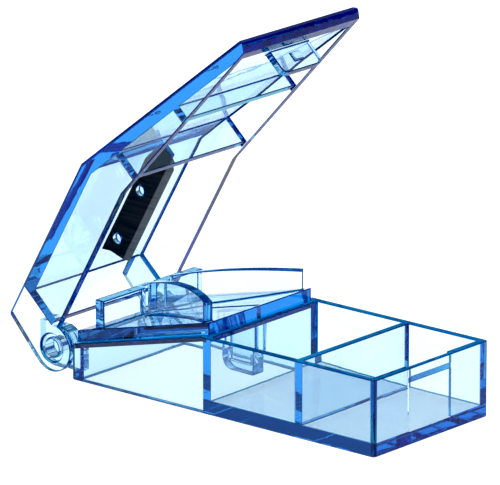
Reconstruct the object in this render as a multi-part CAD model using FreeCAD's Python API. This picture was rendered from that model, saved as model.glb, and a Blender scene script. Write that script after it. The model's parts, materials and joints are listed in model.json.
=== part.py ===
# Hinged pill cutter with a two-compartment tray, modelled with the lid standing open.
# Millimetres.  Origin: centre of the base underside.  +X to the tray end, +Y to the far side, +Z up.
import FreeCAD
import Part
import math
import os

V = FreeCAD.Vector

# ---- overall base ------------------------------------------------------------
WIDTH = 34.0             # across the base and the lid
X_FRONT = 37.4           # outer face of the tray's front wall
X_REAR = -38.6           # outer face of the housing's rear wall
RIM_Z = 15.1             # top of the tray walls
WALL = 1.5               # tray and lid side walls
FLOOR = 2.4              # tray floor thickness
CORNER_R = 0.8           # outer upright corners

# ---- tray --------------------------------------------------------------------
PARTITION_X = 18.2       # middle of the wall between the two compartments
CROSS_FRONT = -3.8       # tray side of the wall between tray and housing
CROSS_LIP = 1.05         # thickness of that wall's upstanding lip
CROSS_THICK = 2.1        # thickness of that wall below the lip
LATCH_HALF = 6.3         # half width of the latch channel in the front wall
LATCH_DEPTH = 0.6        # depth of the latch channel
RIDGE_DEPTH = 0.35       # how far the catch ridge stands out of the channel
RIDGE_DROP = 2.5         # middle of the catch ridge below the rim
RIDGE_TALL = 1.0

# ---- housing and cutting deck --------------------------------------------------
SLOPE = 0.2436           # fall of ledge and deck toward the hinge, mm per mm
LEDGE_X = -6.0           # where the side walls start to fall
LEDGE_W = 1.8            # width of the ledge beside the deck
SHELF_DROP = 1.2         # shelf below the ledge that the deck sits on
HOUSING_WALL = 2.2       # housing side wall below the shelf
DECK_FIT = 0.1           # play of the deck in its recess, each side
DECK_HALF = WIDTH / 2 - LEDGE_W - DECK_FIT
DECK_FRONT = CROSS_FRONT - CROSS_LIP - DECK_FIT
DECK_RISE = 2.7          # deck surface above the rim where it would meet x = DECK_REF
DECK_REF = -4.4
BLADE_T = 0.5
BLADE_FRONT = -6.5       # front end of the cutting edge
BLADE_LENGTH = 22.9      # cutting edge, measured along the base
BLADE_REAR = BLADE_FRONT - BLADE_LENGTH
SLOT_PLAY = 0.35         # room each side of the blade in the slot
SLOT_HALF = BLADE_T / 2 + SLOT_PLAY
SLOT_REAR = BLADE_REAR - 1.6
SLOT_FRONT = BLADE_FRONT + 0.6
POCKET_WALL = 1.0        # wall of the pocket under the slot
POCKET_HALF = SLOT_HALF + POCKET_WALL
POCKET_REAR = -14.0
POCKET_Z = 3.8
POCKET_R = 2.5

# ---- pill guides ---------------------------------------------------------------
STOP_BACK = 5.3          # middle of the low cross walls, ahead of the housing's rear face
STOP_X = X_REAR + STOP_BACK
STOP_T = 2.2
STOP_RISE = 1.3          # top of the cross walls above the rim
STOP_IN = 2.3            # inner end, each side of the slot
STOP_EDGE = 0.5          # from their outer end to the edge of the deck
STOP_OUT = DECK_HALF - STOP_EDGE
GUIDE_T = 1.8
GUIDE_AHEAD = 3.1        # rear end of a guide, ahead of the cross wall
GUIDE_EDGE = 1.05        # from a guide's front end to the edge of the deck
GUIDE_REAR = (STOP_X + GUIDE_AHEAD, 3.0)     # centre line of the far guide, rear end
GUIDE_MID = (-17.6, 7.3)
GUIDE_FRONT = (-6.1, DECK_HALF - GUIDE_EDGE)
GUIDE_TOP = ((-31.4, 2.6), (-18.2, 5.65), (-5.2, 6.2))    # arch of the tops, above the rim

# ---- hinge ---------------------------------------------------------------------
HINGE_BACK = 5.1         # hinge axis behind the housing's rear face
HINGE_DROP = 9.8         # hinge axis below the rim
HINGE_X = X_REAR - HINGE_BACK
HINGE_Z = RIM_Z - HINGE_DROP
PIN_R = 1.9
PIN_PRESS = 0.01         # radial fit of the pin in the lid ear
PIN_RUN = 0.05           # radial running fit of the pin in the base lug
EAR_GAP = 0.3            # between the ear and the housing's rear face
EAR_R = HINGE_BACK - EAR_GAP
EAR_SINK_R = 2.9         # shallow round recess round the pin end
EAR_SINK = 0.5
LUG_R = 4.0
LUG_PLAY = 0.4           # between a lug and the lid's side wall
LUG_T = 3.0
LUG_OUT = WIDTH / 2 - WALL - LUG_PLAY
LUG_IN = LUG_OUT - LUG_T
LUG_POST = 1.6
LUG_POST_RISE = 4.8      # top of the lug's post above the hinge axis
OPEN_DEG = 47.0          # angle of the lid in this pose, 0 is closed

# ---- lid, all given in the closed pose -----------------------------------------
LID_GAP = 0.25           # lid rim above the tray rim and ledge
LID_F = X_FRONT + 1.6    # foot of the front lip
LID_P0 = (X_FRONT + 3.3, RIM_Z + 2.6)        # front top edge
LID_P1 = (-10.3, RIM_Z + 10.8)               # ridge of the lid
LID_P2 = (HINGE_X - 3.8, RIM_Z + 1.9)        # rear top corner of the ears
LID_PLATE = 2.6          # top plate thickness
LID_FRONT_IN = X_FRONT - 0.6                 # inner end of the front lip
LID_EDGE_R = 0.8         # rounding of the long top edges
RIB_T = 1.5
RIB_X = (-1.4, 17.0)     # the two cross ribs under the lid
RIB_RISE = (0.6, 0.6)    # foot of each rib above the rim
PANEL_BACK = 0.7         # front of the back panel, behind the housing's rear face
PANEL_T = 1.6
PANEL_X = (X_REAR - PANEL_BACK - PANEL_T, X_REAR - PANEL_BACK)
PANEL_DROP = 6.2         # foot of the back panel below the rim
TAB_T = 1.5              # latch tab
TAB_PLAY = 0.8           # between the tab and the tray's front wall
TAB_HALF = 5.7
TAB_DROP = 4.3           # foot of the tab below the rim
TAB_R = 1.4
TAB_X = (X_FRONT - WALL - TAB_PLAY - TAB_T, X_FRONT - WALL - TAB_PLAY)
NUB = (0.45, 1.25, 2.4, 0.7)     # height, half width, bottom and top below the rim

# ---- blade ---------------------------------------------------------------------
BLADE_DIP = 0.3          # how far the edge goes below the deck when closed
BEVEL = 1.5
EDGE_T = 0.06
BACK_FRONT = BLADE_FRONT - 3.9   # front and rear ends of the blade's straight back
BACK_REAR = BLADE_REAR - 3.8
BACK_GAP = 0.3           # between that back and the top plate
NOSE = 0.6               # how far the blade's front runs ahead of its edge
HEEL = (2.3, 5.0)        # corner behind the edge, and its height over the edge line
HOLE_X = (BLADE_FRONT - 9.8, BLADE_REAR + 1.1)
HOLE_RISE = (4.7, 4.7)   # holes above the edge line
STUD_R = 1.15
STUD_FIT = 0.04          # radial fit of a stud in the blade
STUD_PRESS = 0.01        # radial fit of a stud in the holder
SEAT = 0.02              # bonded joint between flat faces
HOLDER_T = 1.45
HOLDER_FRONT = BLADE_FRONT + 0.3
HOLDER_REAR = BLADE_REAR - 3.6
HOLDER_RISE = 2.6        # lower side of the holder above the edge line


def box(x0, x1, y0, y1, z0, z1):
    return Part.makeBox(x1 - x0, y1 - y0, z1 - z0, V(x0, y0, z0))


def prism(points, y0, y1):
    """Prism across the width from a closed outline in x and z."""
    ring = [V(x, y0, z) for x, z in points]
    face = Part.Face(Part.makePolygon(ring + ring[:1]))
    return face.extrude(V(0, y1 - y0, 0))


def rod(x, z, r, y0, y1):
    return Part.makeCylinder(r, y1 - y0, V(x, y0, z), V(0, 1, 0))


def fuse(shapes):
    return shapes[0].multiFuse(shapes[1:]).removeSplitter()


def solid(shape):
    return shape.Solids[0] if len(shape.Solids) == 1 else shape


def both_sides(shape):
    return [shape, shape.mirror(V(0, 0, 0), V(0, 1, 0))]


def ledge_z(x):
    return RIM_Z - SLOPE * max(0.0, LEDGE_X - x)


def deck_z(x):
    return RIM_Z + DECK_RISE + SLOPE * (x - DECK_REF)


def upright_edges(shape, xs, half):
    found = []
    for edge in shape.Edges:
        a = edge.Vertexes[0].Point
        b = edge.Vertexes[-1].Point
        upright = abs(a.x - b.x) < 1e-6 and abs(a.y - b.y) < 1e-6 and abs(a.z - b.z) > 1.0
        at_corner = abs(abs(a.y) - half) < 1e-6 and any(abs(a.x - x) < 1e-6 for x in xs)
        if upright and at_corner:
            found.append(edge)
    return found


# ---- base ----------------------------------------------------------------------
def base_outline():
    half = WIDTH / 2
    points = [(X_FRONT, 0), (X_FRONT, RIM_Z), (LEDGE_X, RIM_Z), (X_REAR, ledge_z(X_REAR)), (X_REAR, 0)]
    block = prism(points, -half, half)
    return block.makeFillet(CORNER_R, upright_edges(block, (X_FRONT, X_REAR), half))


def compartments():
    inner = WIDTH / 2 - WALL
    rear = box(CROSS_FRONT, PARTITION_X - WALL / 2, -inner, inner, FLOOR, RIM_Z + 1)
    front = box(PARTITION_X + WALL / 2, X_FRONT - WALL, -inner, inner, FLOOR, RIM_Z + 1)
    face = X_FRONT - WALL
    channel = box(face - 0.5, face + LATCH_DEPTH, -LATCH_HALF, LATCH_HALF, FLOOR, RIM_Z + 1)
    mid = RIM_Z - RIDGE_DROP
    ridge = box(X_FRONT - WALL + LATCH_DEPTH - RIDGE_DEPTH, X_FRONT - WALL + LATCH_DEPTH + 0.1,
                -LATCH_HALF, LATCH_HALF, mid - RIDGE_TALL / 2, mid + RIDGE_TALL / 2)
    return rear.fuse(front).fuse(channel.cut(ridge))


def housing_void():
    """Open-bottomed hollow under the deck, and the recess the deck drops into."""
    inner = WIDTH / 2 - HOUSING_WALL
    x0 = X_REAR + HOUSING_WALL
    x1 = CROSS_FRONT - CROSS_THICK
    hollow = box(x0, x1, -inner, inner, -1, RIM_Z + 1)
    seat = DECK_HALF + DECK_FIT
    x2 = DECK_FRONT + DECK_FIT
    x3 = X_REAR - 1
    recess = prism([(x2, ledge_z(x2) - SHELF_DROP), (x2, RIM_Z + 1), (x3, RIM_Z + 1),
                    (x3, ledge_z(x3) - SHELF_DROP), (LEDGE_X, RIM_Z - SHELF_DROP)], -seat, seat)
    return hollow.fuse(recess)


def lug():
    x, z = HINGE_X, HINGE_Z
    bridge = box(x, X_REAR + 1, LUG_IN, LUG_OUT, z - LUG_R, z + 0.6)
    post = box(x - LUG_R, x - LUG_R + LUG_POST, LUG_IN, LUG_OUT, z, z + LUG_POST_RISE)
    eye = rod(x, z, LUG_R, LUG_IN, LUG_OUT)
    bore = rod(x, z, PIN_R + PIN_RUN, LUG_IN - 1, LUG_OUT + 1)
    return eye.fuse(bridge).fuse(post).cut(bore)


def base_tray():
    body = base_outline().cut(compartments()).cut(housing_void())
    return solid(fuse([body] + both_sides(lug())))


def deck_slab():
    x0 = X_REAR
    x1 = DECK_FRONT
    top = [(x0, deck_z(x0)), (x1, deck_z(x1))]
    under = [(x1, RIM_Z - SHELF_DROP), (LEDGE_X, RIM_Z - SHELF_DROP), (x0, ledge_z(x0) - SHELF_DROP)]
    return prism(top + under, -DECK_HALF, DECK_HALF)


def blade_pocket():
    x0 = POCKET_REAR
    x1 = CROSS_FRONT - CROSS_THICK - DECK_FIT
    fin = prism([(x0, POCKET_Z), (x1, POCKET_Z), (x1, deck_z(x1) - 1), (x0, deck_z(x0) - 1)],
                -POCKET_HALF, POCKET_HALF)
    corner = []
    for edge in fin.Edges:
        a = edge.Vertexes[0].Point
        b = edge.Vertexes[-1].Point
        if max(abs(a.x - x0), abs(b.x - x0), abs(a.z - POCKET_Z), abs(b.z - POCKET_Z)) < 1e-6:
            corner.append(edge)
    return fin.makeFillet(POCKET_R, corner)


def slot_void():
    x1 = SLOT_FRONT
    through = box(SLOT_REAR, x1, -SLOT_HALF, SLOT_HALF, POCKET_Z + POCKET_R + 1.2, RIM_Z + DECK_RISE + 1)
    deep = box(POCKET_REAR + POCKET_WALL, CROSS_FRONT - CROSS_THICK - DECK_FIT - POCKET_WALL,
               -SLOT_HALF, SLOT_HALF, POCKET_Z + POCKET_WALL + 0.6, RIM_Z + DECK_RISE)
    return through.fuse(deep)


def guide():
    """Far pill guide: a curved wall under an arched top."""
    a, b, c = [V(x, y, 0) for x, y in (GUIDE_REAR, GUIDE_MID, GUIDE_FRONT)]
    line = Part.Arc(a, b, c).toShape().Curve
    centre = line.Center
    r = line.Radius
    t = GUIDE_T / 2

    def at(point, radius):
        d = point.sub(centre)
        d.normalize()
        return centre + d * radius

    outer = Part.Arc(at(a, r + t), at(b, r + t), at(c, r + t)).toShape()
    inner = Part.Arc(at(c, r - t), at(b, r - t), at(a, r - t)).toShape()
    ends = [Part.makeLine(at(c, r + t), at(c, r - t)), Part.makeLine(at(a, r - t), at(a, r + t))]
    face = Part.Face(Part.Wire(Part.__sortEdges__([outer, ends[0], inner, ends[1]])))
    wall = face.extrude(V(0, 0, 30))
    p, q, s = [V(x, 0, RIM_Z + z) for x, z in GUIDE_TOP]
    foot = [V(s.x + 2, 0, deck_z(s.x) - 1), V(p.x - 3, 0, deck_z(p.x) - 1)]
    start = V(p.x - 3, 0, p.z)
    end = V(s.x + 2, 0, s.z)
    crown = [Part.makeLine(start, p), Part.Arc(p, q, s).toShape(), Part.makeLine(s, end),
             Part.makeLine(end, foot[0]), Part.makeLine(foot[0], foot[1]), Part.makeLine(foot[1], start)]
    sheet = Part.Face(Part.Wire(crown)).extrude(V(0, WIDTH, 0))
    return wall.common(sheet)


def stop():
    x0 = STOP_X - STOP_T / 2
    x1 = STOP_X + STOP_T / 2
    top = RIM_Z + STOP_RISE
    return prism([(x0, deck_z(x0) - 1), (x1, deck_z(x1) - 1), (x1, top), (x0, top)],
                 STOP_IN, STOP_OUT)


def cutting_deck():
    walls = both_sides(guide()) + both_sides(stop())
    slab = deck_slab().fuse(blade_pocket())
    keep = box(X_REAR, DECK_FRONT, -DECK_HALF, DECK_HALF, 0, 40)
    body = fuse([slab] + [w.common(keep) for w in walls])
    return solid(body.cut(slot_void()))


# ---- lid -----------------------------------------------------------------------
def top_z(x):
    """Upper surface of the closed lid."""
    (x0, z0), (x1, z1), (x2, z2) = LID_P0, LID_P1, LID_P2
    if x > x1:
        return z0 + (z1 - z0) * (x0 - x) / (x0 - x1)
    return z2 + (z1 - z2) * (x - x2) / (x1 - x2)


def plate_drop(x):
    (x0, z0), (x1, z1), (x2, z2) = LID_P0, LID_P1, LID_P2
    rise = (z1 - z0) / (x0 - x1) if x > x1 else (z1 - z2) / (x1 - x2)
    return LID_PLATE * math.hypot(1.0, rise)


def under_z(x):
    """Lower surface of the top plate of the closed lid."""
    return top_z(x) - plate_drop(x)


def ridge_x():
    """Where the two lower surfaces of the top plate meet."""
    za, zb = under_z(LID_P1[0] - 1e-6), under_z(LID_P1[0] + 1e-6)
    sa = (LID_P1[1] - LID_P2[1]) / (LID_P1[0] - LID_P2[0])
    sb = (LID_P0[1] - LID_P1[1]) / (LID_P0[0] - LID_P1[0])
    x = LID_P1[0] + (zb - za) / (sa - sb)
    z = za + sa * (x - LID_P1[0])
    return x, z


def ear_tangent():
    dx, dz = LID_P2[0] - HINGE_X, LID_P2[1] - HINGE_Z
    d = math.hypot(dx, dz)
    ang = math.atan2(dz, dx) + math.acos(EAR_R / d)
    return HINGE_X + EAR_R * math.cos(ang), HINGE_Z + EAR_R * math.sin(ang)


def rim_hit():
    """Where the sloping rim of the side wall runs into the round of the ear."""
    lo, hi = HINGE_X + 0.5 * EAR_R, HINGE_X + EAR_R
    for _ in range(60):
        x = (lo + hi) / 2
        z = ledge_z(x) + LID_GAP
        if math.hypot(x - HINGE_X, z - HINGE_Z) < EAR_R:
            lo = x
        else:
            hi = x
    return x, z


def lid_outline():
    half = WIDTH / 2
    rim = RIM_Z + LID_GAP
    tx, tz = ear_tangent()
    rx, rz = rim_hit()
    y = -half
    f, p0 = V(LID_F, y, rim), V(LID_P0[0], y, LID_P0[1])
    p1, p2 = V(LID_P1[0], y, LID_P1[1]), V(LID_P2[0], y, LID_P2[1])
    t, r, k = V(tx, y, tz), V(rx, y, rz), V(LEDGE_X, y, rim)
    low = V(HINGE_X, y, HINGE_Z - EAR_R)
    edges = [Part.makeLine(f, p0), Part.makeLine(p0, p1), Part.makeLine(p1, p2), Part.makeLine(p2, t),
             Part.Arc(t, low, r).toShape(), Part.makeLine(r, k), Part.makeLine(k, f)]
    return Part.Face(Part.Wire(edges)).extrude(V(0, WIDTH, 0))


def round_top(block):
    half = WIDTH / 2
    picked = []
    for edge in block.Edges:
        a = edge.Vertexes[0].Point
        b = edge.Vertexes[-1].Point
        along = abs(abs(a.y) - half) < 1e-6 and abs(a.y - b.y) < 1e-6
        ends = sorted([(round(a.x, 3), round(a.z, 3)), (round(b.x, 3), round(b.z, 3))])
        for pair in ((LID_P1, LID_P0), (LID_P2, LID_P1)):
            if along and ends == sorted((round(x, 3), round(z, 3)) for x, z in pair):
                picked.append(edge)
        at_front = abs(a.x - LID_P0[0]) < 1e-6 and abs(b.x - LID_P0[0]) < 1e-6
        if at_front and abs(a.y - b.y) > 1:
            picked.append(edge)
    return block.makeFillet(LID_EDGE_R, picked)


def lid_void():
    inner = WIDTH / 2 - WALL
    rx, rz = ridge_x()
    x0, x1 = LID_FRONT_IN, PANEL_X[1]
    under = prism([(x0, 0), (x0, under_z(x0)), (rx, rz), (x1, under_z(x1)), (x1, 0)], -inner, inner)
    foot = box(PANEL_X[0] - 1, PANEL_X[1] + 1, -inner, inner, 0, RIM_Z - PANEL_DROP)
    behind = box(LID_P2[0] - 10, PANEL_X[0], -inner, inner, -2, LID_P1[1] + 5)
    return under.fuse(foot).fuse(behind)


def lid_rib(x, rise):
    inner = WIDTH / 2 - WALL
    return box(x - RIB_T / 2, x + RIB_T / 2, -inner - 0.5, inner + 0.5, RIM_Z + rise, under_z(x) + 0.8)


def latch_tab():
    x0, x1 = TAB_X
    z0 = RIM_Z - TAB_DROP
    tab = box(x0, x1, -TAB_HALF, TAB_HALF, z0, under_z(x1) + 0.8)
    low = []
    for edge in tab.Edges:
        a = edge.Vertexes[0].Point
        b = edge.Vertexes[-1].Point
        if abs(a.z - z0) < 1e-6 and abs(b.z - z0) < 1e-6 and abs(a.x - b.x) > 0.1:
            low.append(edge)
    tab = tab.makeFillet(TAB_R, low)
    tall, wide, low_drop, high_drop = NUB
    nub = box(x1 - 0.1, x1 + tall, -wide, wide, RIM_Z - low_drop, RIM_Z - high_drop)
    nub = nub.makeFillet(0.3, [e for e in nub.Edges if e.Vertexes[0].X > x1 and e.Vertexes[-1].X > x1])
    return tab.fuse(nub)


def swing(shape):
    """Turn a piece of the closed lid to its open pose."""
    out = shape.copy()
    out.rotate(V(HINGE_X, 0, HINGE_Z), V(0, -1, 0), OPEN_DEG)
    return out


def lid_shell():
    half = WIDTH / 2
    shell = round_top(lid_outline()).cut(lid_void())
    shell = fuse([shell] + [lid_rib(x, rise) for x, rise in zip(RIB_X, RIB_RISE)] + [latch_tab()])
    for side in (-1, 1):
        y0, y1 = sorted((side * (half - EAR_SINK), side * (half + 1)))
        shell = shell.cut(rod(HINGE_X, HINGE_Z, EAR_SINK_R, y0, y1))
        y0, y1 = sorted((side * (half - WALL - 1), side * (half + 1)))
        shell = shell.cut(rod(HINGE_X, HINGE_Z, PIN_R + PIN_PRESS, y0, y1))
    return solid(shell)


def edge_z(x):
    return deck_z(x) - BLADE_DIP


def holes():
    """Centres of the two holes through blade and holder."""
    return [(x, edge_z(x) + rise) for x, rise in zip(HOLE_X, HOLE_RISE)]


def blade():
    t = BLADE_T / 2
    nose = BLADE_FRONT + NOSE
    heel = BLADE_REAR - HEEL[0]
    outline = [(BLADE_REAR, edge_z(BLADE_REAR)), (BLADE_FRONT, edge_z(BLADE_FRONT)),
               (nose - 0.1, edge_z(BLADE_FRONT) + 0.9), (nose, under_z(nose) - 2 * BACK_GAP),
               (BACK_FRONT, under_z(BACK_FRONT) - BACK_GAP), (BACK_REAR, under_z(BACK_REAR) - BACK_GAP),
               (heel, edge_z(heel) + HEEL[1]), (BLADE_REAR - 0.9, edge_z(BLADE_REAR) + 1.4)]
    body = prism(outline, -t, t)
    grind = (t - EDGE_T / 2) / BEVEL
    ang = math.degrees(math.atan(SLOPE))
    for side in (-1, 1):
        section = [(EDGE_T / 2 - 0.2 * grind, -0.2), (1.0, -0.2),
                   (1.0, BEVEL + 0.3), (t + 0.3 * grind, BEVEL + 0.3)]
        ring = [V(0, side * y, z) for y, z in section]
        wedge = Part.Face(Part.makePolygon(ring + ring[:1])).extrude(V(BLADE_LENGTH + 12, 0, 0))
        wedge.rotate(V(0, 0, 0), V(0, -1, 0), ang)
        wedge.translate(V(BLADE_REAR - 6, 0, edge_z(BLADE_REAR - 6)))
        body = body.cut(wedge)
    for x, z in holes():
        body = body.cut(rod(x, z, STUD_R + STUD_FIT, -t - 1, t + 1))
    return solid(body)


def blade_holder():
    y0 = BLADE_T / 2 + SEAT
    y1 = y0 + HOLDER_T
    x0, x1 = HOLDER_REAR, HOLDER_FRONT
    xa, xb = x0 + 1.0, x0 + 2.4
    rx, rz = ridge_x()
    outline = [(x0, under_z(x0) - SEAT), (rx, rz - SEAT), (x1, under_z(x1) - SEAT),
               (x1, edge_z(x1) + HOLDER_RISE), (xb, edge_z(xb) + HOLDER_RISE), (xa, edge_z(xa) + HEEL[1])]
    body = prism(outline, y0, y1)
    for x, z in holes():
        body = body.cut(rod(x, z, STUD_R + STUD_PRESS, y0 - 1, y1 + 1))
    return solid(body)


def stud(x, z):
    y0 = BLADE_T / 2 + SEAT + HOLDER_T
    return rod(x, z, STUD_R, -BLADE_T / 2 - 0.2, y0)


def hinge_pin(side):
    half = WIDTH / 2
    y0, y1 = sorted((side * (half - 0.1), side * (LUG_IN - 0.1)))
    return rod(HINGE_X, HINGE_Z, PIN_R, y0, y1)


def main():
    os.makedirs("parts", exist_ok=True)
    pieces = {
        "base_tray": base_tray(),
        "cutting_deck": cutting_deck(),
        "lid_shell": swing(lid_shell()),
        "blade": swing(blade()),
        "blade_holder": swing(blade_holder()),
        "blade_stud_front": swing(stud(*holes()[0])),
        "blade_stud_rear": swing(stud(*holes()[1])),
        "hinge_pin_near": swing(hinge_pin(-1)),
        "hinge_pin_far": swing(hinge_pin(1)),
    }
    for name, shape in pieces.items():
        b = shape.BoundBox
        print(name, "solids", len(shape.Solids), "valid", shape.isValid(), "vol", round(shape.Volume, 2),
              "x", round(b.XMin, 2), round(b.XMax, 2), "y", round(b.YMin, 2), round(b.YMax, 2),
              "z", round(b.ZMin, 2), round(b.ZMax, 2))
        shape.exportStep("parts/" + name + ".step")


main()
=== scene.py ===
"""Hinged pill cutter in clear blue plastic, standing open, in the frame of its CAD model (metres, Z up)."""

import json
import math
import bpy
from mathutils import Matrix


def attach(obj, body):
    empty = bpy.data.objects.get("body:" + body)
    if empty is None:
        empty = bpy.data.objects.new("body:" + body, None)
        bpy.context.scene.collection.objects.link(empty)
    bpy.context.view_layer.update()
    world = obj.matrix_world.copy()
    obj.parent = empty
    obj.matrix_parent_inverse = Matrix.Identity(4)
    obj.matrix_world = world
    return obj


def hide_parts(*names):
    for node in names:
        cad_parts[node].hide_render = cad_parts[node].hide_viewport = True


bl_info = {
    "name": "Hinged Pill Cutter",
    "version": (1, 0, 0),
    "blender": (4, 5, 0),
    "location": "View3D > Sidebar > Pill Cutter",
    "description": "Finishes the tray, deck, lid and blade of a hinged pill cutter and sets its stage",
    "category": "Object",
}

import bmesh
import bpy
import numpy as np
from mathutils import Matrix, Vector

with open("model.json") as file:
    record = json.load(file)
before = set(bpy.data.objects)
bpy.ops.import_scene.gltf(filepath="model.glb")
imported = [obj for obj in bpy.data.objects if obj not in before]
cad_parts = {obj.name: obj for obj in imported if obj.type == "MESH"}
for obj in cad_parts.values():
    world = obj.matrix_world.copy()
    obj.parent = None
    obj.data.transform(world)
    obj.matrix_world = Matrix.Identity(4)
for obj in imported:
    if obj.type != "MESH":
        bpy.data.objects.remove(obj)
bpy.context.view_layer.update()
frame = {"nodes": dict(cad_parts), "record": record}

MM = 0.001
EDGE_ANGLE = 60.69              # slope of the cutting edge in the open lid, in degrees

# Rounding of the merged copies: lengths in mm, angles in degrees
JOIN = 0.002                    # corners nearer than this are one corner
FLAT_TURN = 0.5                 # neighbouring triangles turning by less are one face
SHARP_TURN = 40.0               # arrises turning by more are shaded sharp
KINK_TURN = 3.0                 # the same where two wide faces meet
WIDE_AREA = 4.0                 # least area of a wide face, in square mm
LONG_SIDE = 6.0                 # least length of a narrow face's longest side
SEGMENTS = 2                    # steps of each round

# Light paths, floor and camera
BOUNCES = 48
FLOOR_STEPS = 96
FLOOR_DROP = 0.3 * MM           # floor below the underside of the tray
LAMP_HEIGHT = 1.5
LAMP_SIZE = 1.6
LENS = 511.02                   # focal length in mm on a sensor 36 mm wide
AIM = Vector((-0.07322, 0.07665, 0.0))
AZIMUTH, ELEVATION, ROLL = 40.561, 16.373, -0.056
DISTANCE = 1.46321


def across_blade(x, z):
    """Distance from the origin, square to the cutting edge of the open lid."""
    slope = math.radians(EDGE_ANGLE)
    return z * math.cos(slope) - x * math.sin(slope)


EDGE_HEIGHT = min(across_blade(v.co.x, v.co.z) for v in frame["nodes"]["blade"].data.vertices)


# ---- node trees -------------------------------------------------------------------
def new_material(name):
    """An empty material with a Principled shader on its surface."""
    mat = bpy.data.materials.new(name)
    mat.use_nodes = True
    tree = mat.node_tree
    tree.nodes.clear()
    out = tree.nodes.new("ShaderNodeOutputMaterial")
    shader = tree.nodes.new("ShaderNodeBsdfPrincipled")
    tree.links.new(shader.outputs["BSDF"], out.inputs["Surface"])
    return mat, tree, shader, out


def placed(tree, turn=(0.0, 0.0, 0.0), stretch=(1.0, 1.0, 1.0)):
    """Object coordinates, turned and stretched by a Mapping node."""
    coords = tree.nodes.new("ShaderNodeTexCoord")
    mapping = tree.nodes.new("ShaderNodeMapping")
    mapping.inputs["Rotation"].default_value = turn
    mapping.inputs["Scale"].default_value = stretch
    tree.links.new(coords.outputs["Object"], mapping.inputs["Vector"])
    return mapping.outputs["Vector"]


def noise(tree, where, scale, detail=2.0, rough=0.5):
    node = tree.nodes.new("ShaderNodeTexNoise")
    node.inputs["Scale"].default_value = scale
    node.inputs["Detail"].default_value = detail
    node.inputs["Roughness"].default_value = rough
    tree.links.new(where, node.inputs["Vector"])
    return node.outputs["Fac"]


def stretched(tree, value, low, high, to_low, to_high):
    """Value carried from the range low..high to the range to_low..to_high."""
    node = tree.nodes.new("ShaderNodeMapRange")
    for name, number in zip(("From Min", "From Max", "To Min", "To Max"), (low, high, to_low, to_high)):
        node.inputs[name].default_value = number
    tree.links.new(value, node.inputs["Value"])
    return node.outputs["Result"]


def two_colours(tree, value, low, high, colour_low, colour_high):
    node = tree.nodes.new("ShaderNodeValToRGB")
    for element, position, colour in zip(node.color_ramp.elements, (low, high), (colour_low, colour_high)):
        element.position = position
        element.color = (*colour, 1.0)
    tree.links.new(value, node.inputs["Fac"])
    return node.outputs["Color"]


def surface_bump(tree, shader, height, strength, distance):
    node = tree.nodes.new("ShaderNodeBump")
    node.inputs["Strength"].default_value = strength
    node.inputs["Distance"].default_value = distance
    tree.links.new(height, node.inputs["Height"])
    tree.links.new(node.outputs["Normal"], shader.inputs["Normal"])


# ---- materials ---------------------------------------------------------------------
def clear_blue_plastic(look, name, pale, deep):
    """Moulded see-through plastic: pale through a wall, deep blue along it, with faint flow waves and haze.

    The colour of the surface itself wanders between the colours pale and deep; for the arris material these
    colours are painted shade, a deep blue that stands in for the dark outlines that refraction gives the
    edges.
    """
    mat, tree, shader, out = new_material(name)
    where = placed(tree)
    shader.inputs["Transmission Weight"].default_value = 1.0
    shader.inputs["IOR"].default_value = look.refraction
    tint = two_colours(tree, noise(tree, where, 90.0), 0.35, 0.65, deep, pale)
    tree.links.new(tint, shader.inputs["Base Color"])
    haze = stretched(tree, noise(tree, where, 260.0, 4.0, 0.6), 0.45, 0.75, 0.0, look.haze)
    tree.links.new(haze, shader.inputs["Roughness"])
    surface_bump(tree, shader, noise(tree, where, 140.0), look.wave, 0.2 * MM)
    body = tree.nodes.new("ShaderNodeVolumeAbsorption")
    body.inputs["Color"].default_value = (*look.tint, 1.0)
    body.inputs["Density"].default_value = look.tint_density
    tree.links.new(body.outputs["Volume"], out.inputs["Volume"])
    return mat


def dark_blade_steel(look):
    """Blackened steel with a grain along the blade and a lighter ground bevel beside the cutting edge."""
    mat, tree, shader, out = new_material("blackened_steel")
    shader.inputs["Metallic"].default_value = 1.0
    turn = (0.0, math.radians(look.edge_angle), 0.0)
    grain = noise(tree, placed(tree, turn, (120.0, 900.0, 1500.0)), 1.0, 4.0, 0.6)
    split = tree.nodes.new("ShaderNodeSeparateXYZ")
    tree.links.new(placed(tree, turn), split.inputs["Vector"])
    ground = look.edge_height + look.ground_width * MM
    edge = stretched(tree, split.outputs["Z"], ground, ground + look.ground_fade * MM, 1.0, 0.0)
    dark = two_colours(tree, grain, 0.3, 0.7, (0.035, 0.033, 0.037), (0.07, 0.066, 0.075))
    light = two_colours(tree, grain, 0.3, 0.7, (0.14, 0.14, 0.15), (0.24, 0.24, 0.25))
    mix = tree.nodes.new("ShaderNodeMix")
    mix.data_type = "RGBA"
    tree.links.new(edge, mix.inputs[0])
    tree.links.new(dark, mix.inputs[6])
    tree.links.new(light, mix.inputs[7])
    tree.links.new(mix.outputs[2], shader.inputs["Base Color"])
    tree.links.new(stretched(tree, grain, 0.3, 0.7, 0.3, 0.5), shader.inputs["Roughness"])
    surface_bump(tree, shader, grain, 0.15, 0.02 * MM)
    return mat


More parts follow.
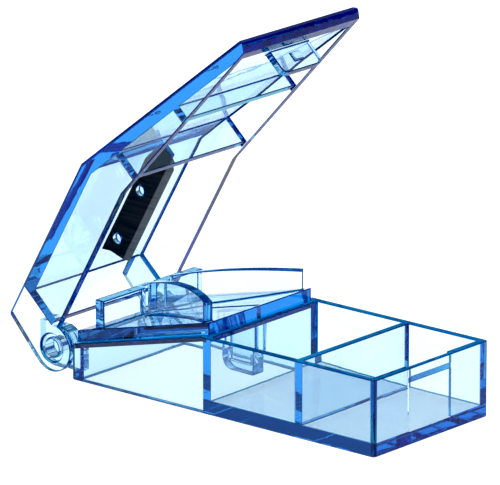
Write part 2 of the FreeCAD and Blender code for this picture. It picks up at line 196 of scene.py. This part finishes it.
# ---- rounded copies of the CAD pieces ----------------------------------------------
def rounded_copy(name, node, radius, least_angle=30.0, shortest=0.05, leave=None, narrow=1.46):
    """A merged copy of a CAD node whose arrises are rounded.

    Doubled corners are joined and flat neighbouring triangles dissolved.  Each arris that turns by more
    than least_angle degrees becomes a round of the given radius (mm).  It is left sharp where its own or
    a neighbouring edge is no longer than shortest (mm), or where leave(x, y, z) in mm is true at an end.
    The rounds, and the long flat faces narrower than narrow (mm), take the second material, a painted shade
    of deep blue on the edges.
    """
    source = frame["nodes"][node]
    bm = bmesh.new()
    bm.from_mesh(source.data)
    bmesh.ops.remove_doubles(bm, verts=bm.verts, dist=JOIN * MM)
    bmesh.ops.dissolve_limit(bm, angle_limit=math.radians(FLAT_TURN), verts=bm.verts, edges=bm.edges)
    tight = {v for e in bm.edges if e.calc_length() < shortest * MM for v in e.verts}
    if leave:
        tight |= {v for v in bm.verts if leave(*(v.co / MM))}
    arrises = [e for e in bm.edges
               if e.is_manifold and e.calc_face_angle(0.0) > math.radians(least_angle)
               and not tight.intersection(e.verts)]
    if not arrises:
        raise RuntimeError(f"{node} has no arris to round")
    # The rounds take material 1, the painted edge shade: a deep blue standing in for the dark outlines that
    # refraction gives the edges.
    bmesh.ops.bevel(bm, geom=arrises, offset=radius * MM, offset_type="OFFSET", segments=SEGMENTS,
                    profile=0.5, affect="EDGES", clamp_overlap=False, material=1)
    for edge in bm.edges:
        kink = all(face.material_index == 0 and face.calc_area() > WIDE_AREA * MM * MM
                   for face in edge.link_faces)
        turn = math.radians(KINK_TURN if kink else SHARP_TURN)
        edge.smooth = edge.is_manifold and edge.calc_face_angle(0.0) < turn
    for face in bm.faces:
        face.smooth = True
        sides = [edge.calc_length() for edge in face.edges]
        # Long narrow faces also take the painted edge shade.
        if 2.0 * face.calc_area() < narrow * MM * sum(sides) and max(sides) > LONG_SIDE * MM:
            face.material_index = 1
    mesh = bpy.data.meshes.new(name)
    bm.to_mesh(mesh)
    bm.free()
    piece = bpy.data.objects.new(name, mesh)
    bpy.context.scene.collection.objects.link(piece)
    flat = piece.modifiers.new("flat faces stay flat", "WEIGHTED_NORMAL")
    flat.mode = "FACE_AREA"
    flat.weight = 80
    flat.keep_sharp = True
    return piece


def finish_plastic(piece, node):
    """The piece takes the node's place and body; its arrises and narrow faces carry a painted shade, a
    deeper blue than its faces that stands in for the dark outlines of the moulded edges.
    """
    look = bpy.context.scene.pill_plastic
    # The second material is painted shade: its deep blue stands in for the dark edge outlines of the
    # moulded plastic.
    for name, pale, deep in (("moulded_clear_blue", look.face_pale, look.face_deep),
                             ("arris_painted_shade", look.arris_shade_pale, look.arris_shade_deep)):
        mat = bpy.data.materials.get(name) or clear_blue_plastic(look, name, tuple(pale), tuple(deep))
        piece.data.materials.append(mat)
    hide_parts(node)
    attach(piece, source_body(node))


def source_body(node):
    for body, members in frame["record"]["behaviour"]["bodies"].items():
        if node in members:
            return body
    raise RuntimeError(f"{node} is on no body")


# ---- sizes and colours --------------------------------------------------------------
class PlasticLook(bpy.types.PropertyGroup):
    refraction: bpy.props.FloatProperty(
        name="Refraction", description="Refractive index of the plastic", default=1.49, min=1.0, max=2.0)
    tint: bpy.props.FloatVectorProperty(
        name="Tint", description="Colour that light keeps on its way through the plastic",
        default=(0.08, 0.69, 0.93), size=3, min=0.0, max=1.0, subtype="COLOR")
    tint_density: bpy.props.FloatProperty(
        name="Tint density", description="Strength of the tint for each metre of plastic",
        default=95.0, min=0.0)
    haze: bpy.props.FloatProperty(
        name="Haze", description="Greatest roughness of the polished faces",
        default=0.04, min=0.0, max=1.0)
    wave: bpy.props.FloatProperty(
        name="Wave", description="Strength of the moulding's flow waves", default=0.12, min=0.0, max=1.0)
    face_pale: bpy.props.FloatVectorProperty(
        name="Face, pale", description="Lighter tint of the wide faces",
        default=(0.975, 0.985, 1.0), size=3, min=0.0, max=1.0, subtype="COLOR")
    face_deep: bpy.props.FloatVectorProperty(
        name="Face, deep", description="Deeper tint of the wide faces",
        default=(0.93, 0.955, 1.0), size=3, min=0.0, max=1.0, subtype="COLOR")
    # Painted shade: the arris colours stand in for the dark outlines that refraction gives the moulded
    # edges.
    arris_shade_pale: bpy.props.FloatVectorProperty(
        name="Arris, pale", description="Lighter tint of the rounded arrises",
        default=(0.004, 0.32, 0.52), size=3, min=0.0, max=1.0, subtype="COLOR")
    arris_shade_deep: bpy.props.FloatVectorProperty(
        name="Arris, deep", description="Deeper tint of the rounded arrises",
        default=(0.001, 0.16, 0.30), size=3, min=0.0, max=1.0, subtype="COLOR")
    radius: bpy.props.FloatProperty(
        name="Arris radius", description="Rounding of the moulded arrises, in millimetres",
        default=0.2, min=0.01)


class SteelLook(bpy.types.PropertyGroup):
    edge_angle: bpy.props.FloatProperty(
        name="Edge angle", description="Slope of the cutting edge in the open lid, in degrees",
        default=EDGE_ANGLE)
    edge_height: bpy.props.FloatProperty(
        name="Edge height", description="Distance of the cutting edge from the origin, across the blade",
        default=EDGE_HEIGHT, unit="LENGTH")
    ground_width: bpy.props.FloatProperty(
        name="Ground width", description="Width of the lighter strip beside the edge, in millimetres",
        default=1.35, min=0.0)
    ground_fade: bpy.props.FloatProperty(
        name="Ground fade", description="Width over which the strip ends, in millimetres",
        default=0.25, min=0.0)


class StageLook(bpy.types.PropertyGroup):
    floor_radius: bpy.props.FloatProperty(
        name="Floor radius", description="Radius of the round floor", default=6.0, unit="LENGTH")
    floor_glow: bpy.props.FloatProperty(
        name="Floor glow", description="Light given off by the floor", default=1.0, min=0.0)
    lamp_power: bpy.props.FloatProperty(
        name="Lamp power", description="Power of the overhead lamp, in watts", default=6.0, min=0.0)
    sky: bpy.props.FloatProperty(
        name="Sky", description="Brightness of the surroundings overhead", default=1.0, min=0.0)
    horizon: bpy.props.FloatVectorProperty(
        name="Horizon", description="Colour of the surroundings low down",
        default=(0.14, 0.26, 0.40), size=3, min=0.0, max=1.0, subtype="COLOR")
    dark_to: bpy.props.FloatProperty(
        name="Dark to", description="Upward part of a direction up to which the surroundings are dark",
        default=0.45, min=0.0, max=1.0)
    white_from: bpy.props.FloatProperty(
        name="White from", description="Upward part of a direction from which they are white",
        default=0.68, min=0.0, max=1.0)
    gamma: bpy.props.FloatProperty(
        name="Gamma", description="Gamma of the finished picture", default=0.8, min=0.1)
    black: bpy.props.FloatProperty(
        name="Black", description="Level of the picture that is shown black", default=0.03, min=0.0)


# ---- operators -----------------------------------------------------------------------
class PILLCUTTER_OT_tray(bpy.types.Operator):
    """Make the clear tray with its housing"""
    bl_idname = "pill_cutter.tray"
    bl_label = "Tray"

    def execute(self, context):
        def leave(x, y, z):
            at_latch = 35.4 < x < 36.9 and abs(y) < 6.6
            return at_latch or not (x > -4.0 or abs(y) > 16.0 or z < 2.0)

        piece = rounded_copy("tray", "base_tray", context.scene.pill_plastic.radius, leave=leave)
        finish_plastic(piece, "base_tray")
        return {"FINISHED"}


class PILLCUTTER_OT_deck(bpy.types.Operator):
    """Make the cutting deck with its pill guides and blade slot"""
    bl_idname = "pill_cutter.deck"
    bl_label = "Cutting deck"

    def execute(self, context):
        radius = context.scene.pill_plastic.radius
        piece = rounded_copy("deck", "cutting_deck", radius, shortest=0.3, narrow=0.0)
        finish_plastic(piece, "cutting_deck")
        return {"FINISHED"}


class PILLCUTTER_OT_lid(bpy.types.Operator):
    """Make the peaked lid with its ribs, back panel and latch tab"""
    bl_idname = "pill_cutter.lid"
    bl_label = "Lid"

    def execute(self, context):
        piece = rounded_copy("lid", "lid_shell", context.scene.pill_plastic.radius, 40.0, 0.1)
        finish_plastic(piece, "lid_shell")
        return {"FINISHED"}


class PILLCUTTER_OT_pins(bpy.types.Operator):
    """Make the hinge pins, the blade's backing bar and its studs"""
    bl_idname = "pill_cutter.pins"
    bl_label = "Pins, studs and backing bar"

    def execute(self, context):
        radius = 0.75 * context.scene.pill_plastic.radius
        for name, node in (("pin_near", "hinge_pin_near"), ("pin_far", "hinge_pin_far"),
                           ("stud_front", "blade_stud_front"), ("stud_rear", "blade_stud_rear")):
            finish_plastic(rounded_copy(name, node, radius, narrow=0.0), node)
        piece = rounded_copy("backing_bar", "blade_holder", radius, shortest=0.3)
        finish_plastic(piece, "blade_holder")
        return {"FINISHED"}


class PILLCUTTER_OT_blade(bpy.types.Operator):
    """Give the blade its dark steel"""
    bl_idname = "pill_cutter.blade"
    bl_label = "Blade"

    def execute(self, context):
        blade = frame["nodes"]["blade"]
        mat = dark_blade_steel(context.scene.pill_steel)
        if blade.material_slots:
            for slot in blade.material_slots:
                slot.material = mat
        else:
            blade.data.materials.append(mat)
        return {"FINISHED"}


class PILLCUTTER_OT_stage(bpy.types.Operator):
    """Make the floor, the surroundings, the lamp and the camera"""
    bl_idname = "pill_cutter.stage"
    bl_label = "Stage"

    def execute(self, context):
        look = context.scene.pill_stage
        self.floor(context, look)
        self.surroundings(context, look)
        lamp = bpy.data.lights.new("overhead", "AREA")
        lamp.shape = "DISK"
        lamp.size = LAMP_SIZE
        lamp.energy = look.lamp_power
        overhead = bpy.data.objects.new("overhead", lamp)
        overhead.location = (0.0, 0.0, LAMP_HEIGHT)
        context.scene.collection.objects.link(overhead)
        self.camera(context)
        film = context.scene.view_settings
        film.view_transform = "Standard"
        film.gamma = look.gamma
        film.use_curve_mapping = True
        film.curve_mapping.black_level = (look.black, look.black, look.black)
        film.curve_mapping.update()
        paths = context.scene.cycles
        paths.max_bounces = BOUNCES
        paths.transmission_bounces = BOUNCES
        paths.glossy_bounces = BOUNCES
        return {"FINISHED"}

    def floor(self, context, look):
        """A disc: radius times (cos a, sin a) for equal steps of a."""
        a = np.arange(FLOOR_STEPS) * (2.0 * math.pi / FLOOR_STEPS)
        rim = np.stack([np.cos(a), np.sin(a), np.zeros(FLOOR_STEPS)], 1) * look.floor_radius
        rim[:, 2] = -FLOOR_DROP
        mesh = bpy.data.meshes.new("floor")
        mesh.from_pydata(rim.tolist(), [], [list(range(FLOOR_STEPS))])
        mat, tree, shader, out = new_material("floor_white")
        shader.inputs["Base Color"].default_value = (0.3, 0.3, 0.3, 1.0)
        shader.inputs["Roughness"].default_value = 0.8
        shader.inputs["Emission Color"].default_value = (1.0, 1.0, 1.0, 1.0)
        shader.inputs["Emission Strength"].default_value = look.floor_glow
        mesh.materials.append(mat)
        floor = bpy.data.objects.new("floor", mesh)
        context.scene.collection.objects.link(floor)

    def surroundings(self, context, look):
        """Bright overhead and dark low down, the same all round; the camera itself sees plain white."""
        world = bpy.data.worlds.new("studio")
        context.scene.world = world
        world.use_nodes = True
        tree = world.node_tree
        tree.nodes.clear()
        out = tree.nodes.new("ShaderNodeOutputWorld")
        around = tree.nodes.new("ShaderNodeBackground")
        around.inputs["Strength"].default_value = look.sky
        plain = tree.nodes.new("ShaderNodeBackground")
        plain.inputs["Color"].default_value = (1.0, 1.0, 1.0, 1.0)
        coords = tree.nodes.new("ShaderNodeTexCoord")
        split = tree.nodes.new("ShaderNodeSeparateXYZ")
        tree.links.new(coords.outputs["Generated"], split.inputs["Vector"])
        colour = two_colours(tree, split.outputs["Z"], look.dark_to, look.white_from,
                             tuple(look.horizon), (1.0, 1.0, 1.0))
        tree.links.new(colour, around.inputs["Color"])
        path = tree.nodes.new("ShaderNodeLightPath")
        mix = tree.nodes.new("ShaderNodeMixShader")
        tree.links.new(path.outputs["Is Camera Ray"], mix.inputs["Fac"])
        tree.links.new(around.outputs["Background"], mix.inputs[1])
        tree.links.new(plain.outputs["Background"], mix.inputs[2])
        tree.links.new(mix.outputs["Shader"], out.inputs["Surface"])

    def camera(self, context):
        """A long lens that looks at AIM from the front right and a little above."""
        data = bpy.data.cameras.new("camera")
        data.sensor_width = 36.0
        data.lens = LENS
        data.clip_start = 0.05
        data.clip_end = 20.0
        eye = bpy.data.objects.new("camera", data)
        azimuth, elevation, roll = (math.radians(angle) for angle in (AZIMUTH, ELEVATION, ROLL))
        away = Vector((math.sin(azimuth) * math.cos(elevation), -math.cos(azimuth) * math.cos(elevation),
                       math.sin(elevation)))
        turn = (-away).to_track_quat("-Z", "Y").to_matrix().to_4x4() @ Matrix.Rotation(roll, 4, "Z")
        eye.matrix_world = Matrix.Translation(AIM + away * DISTANCE) @ turn
        context.scene.collection.objects.link(eye)
        context.scene.camera = eye


class PILLCUTTER_PT_panel(bpy.types.Panel):
    """Pieces and looks of the pill cutter"""
    bl_idname = "PILLCUTTER_PT_panel"
    bl_label = "Pill Cutter"
    bl_space_type = "VIEW_3D"
    bl_region_type = "UI"
    bl_category = "Pill Cutter"

    def draw(self, context):
        for operator in OPERATORS:
            self.layout.operator(operator.bl_idname)
        for name, group in GROUPS.items():
            box = self.layout.box()
            for item in group.__annotations__:
                box.prop(getattr(context.scene, name), item)


OPERATORS = (PILLCUTTER_OT_tray, PILLCUTTER_OT_deck, PILLCUTTER_OT_lid, PILLCUTTER_OT_pins,
             PILLCUTTER_OT_blade, PILLCUTTER_OT_stage)
GROUPS = {"pill_plastic": PlasticLook, "pill_steel": SteelLook, "pill_stage": StageLook}


def register():
    for name, group in GROUPS.items():
        bpy.utils.register_class(group)
        setattr(bpy.types.Scene, name, bpy.props.PointerProperty(type=group))
    for cls in OPERATORS + (PILLCUTTER_PT_panel,):
        bpy.utils.register_class(cls)


def unregister():
    for cls in reversed(OPERATORS + (PILLCUTTER_PT_panel,)):
        bpy.utils.unregister_class(cls)
    for name, group in GROUPS.items():
        delattr(bpy.types.Scene, name)
        bpy.utils.unregister_class(group)


def main():
    register()
    bpy.ops.pill_cutter.tray()
    bpy.ops.pill_cutter.deck()
    bpy.ops.pill_cutter.lid()
    bpy.ops.pill_cutter.pins()
    bpy.ops.pill_cutter.blade()
    bpy.ops.pill_cutter.stage()


if __name__ == "__main__":
    main()
